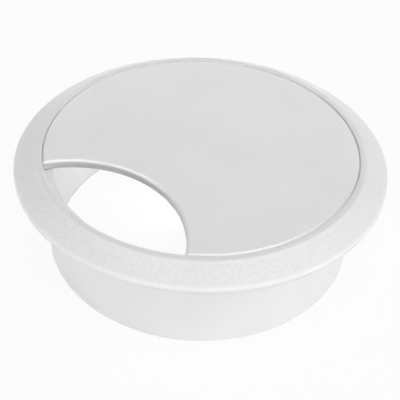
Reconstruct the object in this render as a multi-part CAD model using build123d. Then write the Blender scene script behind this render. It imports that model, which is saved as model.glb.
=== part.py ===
from build123d import *
from math import cos, atan2, degrees
import os

# Desk cable grommet: a flanged liner that drops into a hole drilled in a desk top, and a flush
# round cap with a cable outlet cut in its edge. The origin is on the axis, in the plane where the
# flange sits on the desk. +Z points up out of the desk and the outlet faces -Y.
# Every length is in millimetres and every angle in degrees.

# Liner
desk_hole = 60.0            # diameter drilled in the desk
hole_clearance = 0.2        # on the diameter, between the sleeve and the hole
sleeve_length = 18.2        # below the desk surface
sleeve_wall = 1.6
flange_cover = 5.0          # how far the flange reaches past the edge of the hole
flange_height = 3.2         # desk surface to the flat land round the cap
flange_edge_height = 0.9    # upright edge at the flange's rim
flange_wall = 1.6           # left over the relief groove in the underside
ledge_width = 1.37          # step inside the sleeve's mouth that the cap sits on
land_width = 1.25           # flat ring between the cap and the sloping flange

# Cap
cap_thickness = 2.0
cap_gap = 0.06              # all round the cap in its seat
outlet_radius = 20.3
outlet_reach = 14.45        # cap's centre to the nearest point of the outlet

# Snap: a bead inside the sleeve, and hooked legs under the cap that pass it
bead_height = 0.4           # how far the bead stands in from the bore
bead_crest = 0.5            # flat top of the bead
bead_drop = 1.4             # seat ledge down to the middle of the bead
snap_clearance = 0.2        # between the legs and the bead, and the hooks and the bore
hook_land = 0.4             # upright face of a hook
lead_in_height = 1.2        # tapered end below a hook
lead_in_depth = 0.8         # how far that end tapers in from the hook's face
leg_wall = 1.4
leg_width = 12.0
leg_count = 4
leg_arc = 180.0             # the legs are spread over the half away from the outlet

# Edges
rim_round = 0.35            # top of the flange's upright edge
land_round = 0.5            # where the slope meets the land
seat_chamfer = 0.1          # mouth of the seat recess
sleeve_end_chamfer = 0.4    # leads the sleeve into the hole
cap_edge_chamfer = 0.35     # top edge of the cap's rim
outlet_top_round = 0.7      # the outlet's edge is rounded above and below, so that cables don't chafe
outlet_under_round = 0.6

# Radii and heights that follow
sleeve_radius = (desk_hole - hole_clearance) / 2
bore_radius = sleeve_radius - sleeve_wall
flange_radius = desk_hole / 2 + flange_cover
seat_radius = bore_radius + ledge_width
cap_radius = seat_radius - cap_gap
land_radius = seat_radius + land_width
ledge_height = flange_height - cap_thickness
bead_radius = bore_radius - bead_height
bead_middle = ledge_height - bead_drop
bead_half = bead_crest / 2 + bead_height
outlet_offset = outlet_reach + outlet_radius


def ring_section(corners):
    """Closed face in the XZ plane from (radius, height, rounding) corners."""
    points = [(radius, height) for radius, height, rounding in corners]
    roundings = [rounding for radius, height, rounding in corners]
    outline = FilletPolyline(*points, radius=roundings, close=True)
    return Plane.XZ * make_face(outline)


def relief_groove():
    """Moulding relief in the flange's underside, its roof parallel to the slope above it."""
    run = flange_radius - land_radius
    fall = flange_height - flange_edge_height
    wall_upright = flange_wall / cos(atan2(fall, run))
    inner_radius = seat_radius + flange_wall
    roof = flange_height - wall_upright - (inner_radius - land_radius) * fall / run
    outer_radius = inner_radius + roof * run / fall
    section = ring_section([
        (inner_radius, 0, 0),
        (outer_radius, 0, 0),
        (inner_radius, roof, 0),
    ])
    return revolve(section, Axis.Z)


def make_liner():
    section = ring_section([
        (sleeve_radius - sleeve_end_chamfer, -sleeve_length, 0),
        (sleeve_radius, -sleeve_length + sleeve_end_chamfer, 0),
        (sleeve_radius, 0, 0),
        (flange_radius, 0, 0),
        (flange_radius, flange_edge_height, rim_round),
        (land_radius, flange_height, land_round),
        (seat_radius + seat_chamfer, flange_height, 0),
        (seat_radius, flange_height - seat_chamfer, 0),
        (seat_radius, ledge_height, 0),
        (bore_radius, ledge_height, 0),
        (bore_radius, bead_middle + bead_half, 0),
        (bead_radius, bead_middle + bead_crest / 2, 0),
        (bead_radius, bead_middle - bead_crest / 2, 0),
        (bore_radius, bead_middle - bead_half, 0),
        (bore_radius, -sleeve_length, 0),
    ])
    return revolve(section, Axis.Z) - relief_groove()


def outlet_cutter():
    """What the outlet takes out of the cap: a round shaft that flares over the lip's two roundings."""
    above = flange_height + cap_thickness
    below = ledge_height - cap_thickness
    top_mouth = outlet_radius + outlet_top_round
    under_mouth = outlet_radius + outlet_under_round
    outline = Polyline(
        (outlet_radius, flange_height - outlet_top_round),
        (outlet_radius, ledge_height + outlet_under_round),
    )
    outline += RadiusArc(
        (outlet_radius, ledge_height + outlet_under_round),
        (under_mouth, ledge_height),
        -outlet_under_round,
    )
    outline += Polyline(
        (under_mouth, ledge_height),
        (under_mouth, below),
        (0, below),
        (0, above),
        (top_mouth, above),
        (top_mouth, flange_height),
    )
    outline += RadiusArc(
        (top_mouth, flange_height),
        (outlet_radius, flange_height - outlet_top_round),
        -outlet_top_round,
    )
    section = Plane.XZ * make_face(outline)
    return Pos(0, -outlet_offset) * revolve(section, Axis.Z)


def make_cap_plate():
    """Round plate with a broken upper edge, seated on the liner's ledge."""
    section = ring_section([
        (0, ledge_height, 0),
        (cap_radius, ledge_height, 0),
        (cap_radius, flange_height - cap_edge_chamfer, 0),
        (cap_radius - cap_edge_chamfer, flange_height, 0),
        (0, flange_height, 0),
    ])
    return revolve(section, Axis.Z)


def make_snap_leg():
    """One hooked leg, centred on the +X axis."""
    outer = bead_radius - snap_clearance
    inner = outer - leg_wall
    hook = bore_radius - snap_clearance
    hook_top = bead_middle - bead_half - snap_clearance
    hook_bottom = hook_top - hook_land
    tip = hook_bottom - lead_in_height
    root = ledge_height + cap_thickness / 2
    section = ring_section([
        (inner, root, 0),
        (inner, tip, 0),
        (hook - lead_in_depth, tip, 0),
        (hook, hook_bottom, 0),
        (hook, hook_top, 0),
        (outer, hook_top + hook - outer, 0),
        (outer, root, 0),
    ])
    arc = degrees(leg_width / outer)
    return Rot(0, 0, -arc / 2) * revolve(section, Axis.Z, arc)


def make_cap():
    cap = make_cap_plate()
    leg = make_snap_leg()
    for place in range(leg_count):
        cap += Rot(0, 0, place * leg_arc / (leg_count - 1)) * leg
    return cap - outlet_cutter()


os.makedirs("parts", exist_ok=True)
export_step(make_liner(), "parts/liner.step")
export_step(make_cap(), "parts/cap.step")
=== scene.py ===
import bpy
from math import cos, radians, sin
from mathutils import Matrix, Vector


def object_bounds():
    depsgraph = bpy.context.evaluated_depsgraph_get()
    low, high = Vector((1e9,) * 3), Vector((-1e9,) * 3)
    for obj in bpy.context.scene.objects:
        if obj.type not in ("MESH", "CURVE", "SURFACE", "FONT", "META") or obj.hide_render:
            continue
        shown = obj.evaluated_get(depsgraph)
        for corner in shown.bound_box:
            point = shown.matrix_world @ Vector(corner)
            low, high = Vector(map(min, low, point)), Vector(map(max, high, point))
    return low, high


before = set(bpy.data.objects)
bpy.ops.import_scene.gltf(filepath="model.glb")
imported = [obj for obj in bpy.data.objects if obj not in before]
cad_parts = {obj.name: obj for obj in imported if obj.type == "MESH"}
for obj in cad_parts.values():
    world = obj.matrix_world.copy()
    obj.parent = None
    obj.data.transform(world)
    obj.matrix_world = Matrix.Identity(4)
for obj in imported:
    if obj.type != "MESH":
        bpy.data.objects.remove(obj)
cad_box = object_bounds()

# A desk cable grommet of two white plastic mouldings, lit as for a photograph on white.
# Lengths are in metres, angles in degrees and lamp powers in watts, in the frame of the part: the
# origin is on the axis at the desk surface, +Z is up and the cable outlet faces -Y.
MM = 0.001

# Camera, as the photograph was taken
CAMERA_AZIMUTH = 39.5
CAMERA_ELEVATION = 37.9
CAMERA_DISTANCE = 152.6 * MM        # from the origin
CAMERA_ROLL = 2.37
CAMERA_NEAR = 1.0 * MM              # nothing nearer than this is seen
AIM_HEIGHT = -10.8 * MM             # the camera looks at this height of the axis,
AIM_ASIDE = 0.11 * MM               # and this far to the right of it
SENSOR_WIDTH = 36.0                 # the sensor and the lens are in millimetres
LENS = 72.0

# Plastic
WHITE = (0.80, 0.80, 0.80, 1.0)
SHADE = (0.775, 0.775, 0.775, 1.0)  # the white where the flow marks are darkest
FLOW_MARK_SIZE = 12.0 * MM
GLOW_DEPTH = 0.5 * MM               # how far light spreads inside the plastic,
GLOW_SHARE = 0.50                   # and how much of it does
GLOW_TINT = (1.0, 1.0, 1.0)         # red, green and blue spread equally far
LINER_ROUGHNESS = (0.45, 0.55)      # lowest and highest over the satin grain
LINER_SPECULAR = 0.2
CAP_ROUGHNESS = (0.24, 0.29)
CAP_SPECULAR = 0.5
NOISE_SPAN = (0.3, 0.7)             # most values of a noise lie between these
NOISE_DETAIL = 2.0
SATIN_GRAIN = 0.12 * MM             # fine grain of every surface
SATIN_DEPTH = 0.0015 * MM
EDGE_SOFTNESS = 0.25 * MM           # every moulded edge is rounded at least this much,
LAND_SOFTNESS = 0.60 * MM           # and the liner's smooth places more, so the narrow land is crowned
EDGE_SAMPLES = 8                    # rays that look for an edge near each point

# Coarser moulded texture on the sloping flange
TEXTURE_START = 30.9 * MM           # radius where it starts
TEXTURE_END = 31.4 * MM             # and where it is full
RIM_START = 34.4 * MM               # radius where it fades again
RIM_END = 34.7 * MM                 # and where the smooth rim starts
SPARK_GRAIN = 0.42 * MM             # size of one grain
SPARK_DETAIL = 1.0
SPARK_DEPTH = 0.130 * MM
SPARK_ROUGHNESS = 0.65
PAINTED_PIT_SHADE = (0.955, 0.955, 0.955, 1.0)   # painted shade in the pits of the grain: what it leaves of the white
PIT_SPAN = (0.35, 0.55)             # the grain's noise at the bottom of a pit, where the painted shade is full, and at its edge, where it ends

# Light, as directions seen from the object: azimuth and elevation, then width, height and power
SOFTBOX_DISTANCE = 0.60
SOFTBOXES = {
    "low_front": (40.0, 1.5, 0.60, 0.031, 1.23),
    "low_right": (95.0, 1.5, 0.60, 0.031, 0.53),
    "low_back": (220.0, 1.5, 0.60, 0.031, 1.11),
    "low_far_left": (-70.0, 1.5, 0.60, 0.031, 0.46),
    "low_left": (-15.0, 1.5, 0.60, 0.031, 0.46),
    "right": (112.0, 42.0, 0.45, 0.45, 1.87),
    "left": (-31.0, 30.0, 0.45, 0.45, 0.76),
    "back": (219.0, 35.0, 0.45, 0.45, 0.59),
    "top": (40.0, 80.0, 0.18, 0.18, 0.57),
}
GLINTS = {                          # seen only in reflections, as bright lines on the edges
    "glint_left": (-22.0, 50.0, 0.60, 0.20, 3.40),
    "glint_front": (40.0, 55.0, 0.40, 0.20, 3.60),
    "glint_right": (90.0, 47.0, 0.40, 0.20, 2.80),
}

# Small lamp under the cap, for the sleeve's inner wall that shows through the outlet
INNER_LAMP = Vector((-4.0, 4.0, -11.0)) * MM
INNER_TARGET = Vector((-27.0, -6.0, -10.0)) * MM
INNER_SIZE = 10.0 * MM
INNER_POWER = 0.0036

# Surroundings
PLAIN_WHITE = (1.0, 1.0, 1.0, 1.0)
SHOWN_STRENGTH = 1.0                # the world and the floor's glow show as plain white at this strength
WORLD_STRENGTH = 0.16               # the world's light on the object
FLOOR_HALF = 1.5                    # from the axis to the floor's sides
FLOOR_GREY = (0.80, 0.80, 0.80, 1.0)
BACKGROUND_GLOW = 0.93              # share of the floor's colour that is glow; the rest is lit and shadowed
SHADOW_REACH = 0.08                 # the floor keeps that share this near to the axis,
BACKDROP_START = 0.40               # and it all glows from here on

# Sockets of Blender's Mix node when it mixes colours
MIX_AMOUNT = 0
MIX_FIRST = 6
MIX_SECOND = 7
MIX_RESULT = 2


def direction(azimuth, elevation):
    """Unit vector from the object towards a viewer or a lamp."""
    a = radians(azimuth)
    e = radians(elevation)
    return Vector((sin(a) * cos(e), -cos(a) * cos(e), sin(e)))


def facing(position, target, roll=0.0):
    """Matrix of a camera or lamp at position that looks at target."""
    turn = (target - position).to_track_quat("-Z", "Y").to_matrix().to_4x4()
    return Matrix.Translation(position) @ turn @ Matrix.Rotation(radians(roll), 4, "Z")


def add_camera():
    data = bpy.data.cameras.new("camera")
    data.sensor_width = SENSOR_WIDTH
    data.lens = LENS
    data.clip_start = CAMERA_NEAR
    camera = bpy.data.objects.new("camera", data)
    position = direction(CAMERA_AZIMUTH, CAMERA_ELEVATION) * CAMERA_DISTANCE
    aim = direction(CAMERA_AZIMUTH + 90, 0) * AIM_ASIDE
    aim.z = AIM_HEIGHT
    camera.matrix_world = facing(position, aim, CAMERA_ROLL)
    bpy.context.scene.collection.objects.link(camera)
    bpy.context.scene.camera = camera


def add_lamp(name, position, target, width, height, power, lights_surfaces=True):
    """Area lamp, which shows only in reflections where it lights no surfaces."""
    data = bpy.data.lights.new(name, "AREA")
    data.shape = "RECTANGLE"
    data.size = width
    data.size_y = height
    data.energy = power
    lamp = bpy.data.objects.new(name, data)
    lamp.visible_camera = False
    lamp.visible_diffuse = lights_surfaces
    lamp.matrix_world = facing(position, target)
    bpy.context.scene.collection.objects.link(lamp)


class Nodes:
    """The nodes of one material or world."""

    def __init__(self, owner):
        owner.use_nodes = True
        self.tree = owner.node_tree
        self.tree.nodes.clear()

    def add(self, kind, inputs=None, **settings):
        """New node, with its inputs linked to other nodes' outputs or set to values."""
        node = self.tree.nodes.new("ShaderNode" + kind)
        for key, value in settings.items():
            setattr(node, key, value)
        for socket, source in (inputs or {}).items():
            if isinstance(source, bpy.types.NodeSocket):
                self.tree.links.new(source, node.inputs[socket])
            else:
                node.inputs[socket].default_value = source
        return node


def axis_distance(nodes, place):
    """How far a place is from the part's axis."""
    parts = nodes.add("SeparateXYZ", {0: place}).outputs
    flat = nodes.add("CombineXYZ", {0: parts[0], 1: parts[1]})
    return nodes.add("VectorMath", {0: flat.outputs[0]}, operation="LENGTH").outputs["Value"]


def noise(nodes, place, size, detail=NOISE_DETAIL):
    """Noise from 0 to 1 whose spots are about as large as size."""
    return nodes.add("TexNoise", {"Vector": place, "Scale": 1 / size, "Detail": detail}).outputs["Fac"]


def ramp(nodes, value, from_range, to_range):
    """Value that goes evenly over to_range as the given one goes over from_range, and no further."""
    inputs = {
        "Value": value,
        "From Min": from_range[0],
        "From Max": from_range[1],
        "To Min": to_range[0],
        "To Max": to_range[1],
    }
    return nodes.add("MapRange", inputs).outputs["Result"]


def mix_colour(nodes, amount, first, second, blend_type="MIX"):
    """The first colour where amount is 0, and the second, or their blend, where it is 1."""
    inputs = {MIX_AMOUNT: amount, MIX_FIRST: first, MIX_SECOND: second}
    return nodes.add("Mix", inputs, data_type="RGBA", blend_type=blend_type).outputs[MIX_RESULT]


def bumped(nodes, height, depth, normal, strength=1.0):
    """The normal, tilted as if the surface had this height."""
    inputs = {"Height": height, "Distance": depth, "Strength": strength, "Normal": normal}
    return nodes.add("Bump", inputs).outputs[0]


def maximum(nodes, first, second):
    return nodes.add("Math", {0: first, 1: second}, operation="MAXIMUM").outputs[0]


def seen_directly(nodes):
    """1 for rays that show a thing itself: from the camera, in a reflection or through glass."""
    path = nodes.add("LightPath").outputs
    mirrored = maximum(nodes, path["Is Glossy Ray"], path["Is Transmission Ray"])
    return maximum(nodes, path["Is Camera Ray"], mirrored)


def add_world():
    """Dim light from all round, which shows as plain white."""
    world = bpy.data.worlds.new("studio")
    bpy.context.scene.world = world
    nodes = Nodes(world)
    light = nodes.add("Background", {"Color": PLAIN_WHITE, "Strength": WORLD_STRENGTH})
    shown = nodes.add("Background", {"Color": PLAIN_WHITE, "Strength": SHOWN_STRENGTH})
    mixed = nodes.add("MixShader", {0: seen_directly(nodes), 1: light.outputs[0], 2: shown.outputs[0]})
    nodes.add("OutputWorld", {"Surface": mixed.outputs[0]})


def add_floor():
    """Pale floor under the sleeve's end, which shows as nearly white and keeps a faint shadow."""
    height = cad_box[0].z
    signs = ((-1, -1), (1, -1), (1, 1), (-1, 1))
    corners = [(x * FLOOR_HALF, y * FLOOR_HALF, height) for x, y in signs]
    mesh = bpy.data.meshes.new("floor")
    mesh.from_pydata(corners, [], [range(len(corners))])
    floor = bpy.data.objects.new("floor", mesh)
    bpy.context.scene.collection.objects.link(floor)
    material = bpy.data.materials.new("floor")
    nodes = Nodes(material)
    matte = nodes.add("BsdfDiffuse", {"Color": FLOOR_GREY})
    glow = nodes.add("Emission", {"Color": PLAIN_WHITE, "Strength": SHOWN_STRENGTH})
    distance = axis_distance(nodes, nodes.add("TexCoord").outputs["Object"])
    share = ramp(nodes, distance, (SHADOW_REACH, BACKDROP_START), (BACKGROUND_GLOW, 1))
    amount = nodes.add("Math", {0: seen_directly(nodes), 1: share}, operation="MULTIPLY")
    mixed = nodes.add("MixShader", {0: amount.outputs[0], 1: matte.outputs[0], 2: glow.outputs[0]})
    nodes.add("OutputMaterial", {"Surface": mixed.outputs[0]})
    mesh.materials.append(material)


def flange_texture_mask(nodes, place):
    """1 on the sloping flange, and 0 on its smooth rim and on all that is nearer to the axis."""
    radius = axis_distance(nodes, place)
    inner = ramp(nodes, radius, (TEXTURE_START, TEXTURE_END), (0, 1))
    return ramp(nodes, radius, (RIM_START, RIM_END), (inner, 0))


def plastic(name, roughness, specular, textured):
    """White moulded plastic: faint flow marks, satin grain, and the flange's texture with painted shade in
    its pits if it is textured.
    """
    material = bpy.data.materials.new(name)
    nodes = Nodes(material)
    place = nodes.add("TexCoord").outputs["Object"]
    marks = ramp(nodes, noise(nodes, place, FLOW_MARK_SIZE), NOISE_SPAN, (0, 1))
    colour = mix_colour(nodes, marks, SHADE, WHITE)
    satin = noise(nodes, place, SATIN_GRAIN)
    gloss = ramp(nodes, satin, NOISE_SPAN, roughness)
    softness = EDGE_SOFTNESS
    if textured:
        mask = flange_texture_mask(nodes, place)
        softness = ramp(nodes, mask, (0, 1), (LAND_SOFTNESS, EDGE_SOFTNESS))
    edges = nodes.add("Bevel", {"Radius": softness}, samples=EDGE_SAMPLES).outputs[0]
    skin = bumped(nodes, satin, SATIN_DEPTH, edges)
    if textured:
        gloss = ramp(nodes, mask, (0, 1), (gloss, SPARK_ROUGHNESS))
        grain = noise(nodes, place, SPARK_GRAIN, SPARK_DETAIL)
        # painted shade: the pits of the flange's grain are coloured darker
        painted_shade_in_pits = ramp(nodes, grain, PIT_SPAN, (mask, 0))
        colour = mix_colour(nodes, painted_shade_in_pits, colour, PAINTED_PIT_SHADE, blend_type="MULTIPLY")
        skin = bumped(nodes, grain, SPARK_DEPTH, skin, strength=mask)
    shader = nodes.add("BsdfPrincipled", {
        "Base Color": colour,
        "Roughness": gloss,
        "Specular IOR Level": specular,
        "Normal": skin,
        "Subsurface Weight": GLOW_SHARE,
        "Subsurface Radius": GLOW_TINT,
        "Subsurface Scale": GLOW_DEPTH,
    })
    nodes.add("OutputMaterial", {"Surface": shader.outputs[0]})
    return material


def dress(node, material):
    """Give a CAD node one material."""
    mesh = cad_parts[node].data
    mesh.materials.clear()
    mesh.materials.append(material)


dress("liner", plastic("liner_plastic", LINER_ROUGHNESS, LINER_SPECULAR, textured=True))
dress("cap", plastic("cap_plastic", CAP_ROUGHNESS, CAP_SPECULAR, textured=False))
bpy.context.scene.view_settings.view_transform = "Standard"
add_floor()
add_world()
for name, (azimuth, elevation, width, height, power) in (SOFTBOXES | GLINTS).items():
    position = direction(azimuth, elevation) * SOFTBOX_DISTANCE
    add_lamp(name, position, Vector(), width, height, power, lights_surfaces=name in SOFTBOXES)
add_lamp("inner", INNER_LAMP, INNER_TARGET, INNER_SIZE, INNER_SIZE, INNER_POWER)
add_camera()
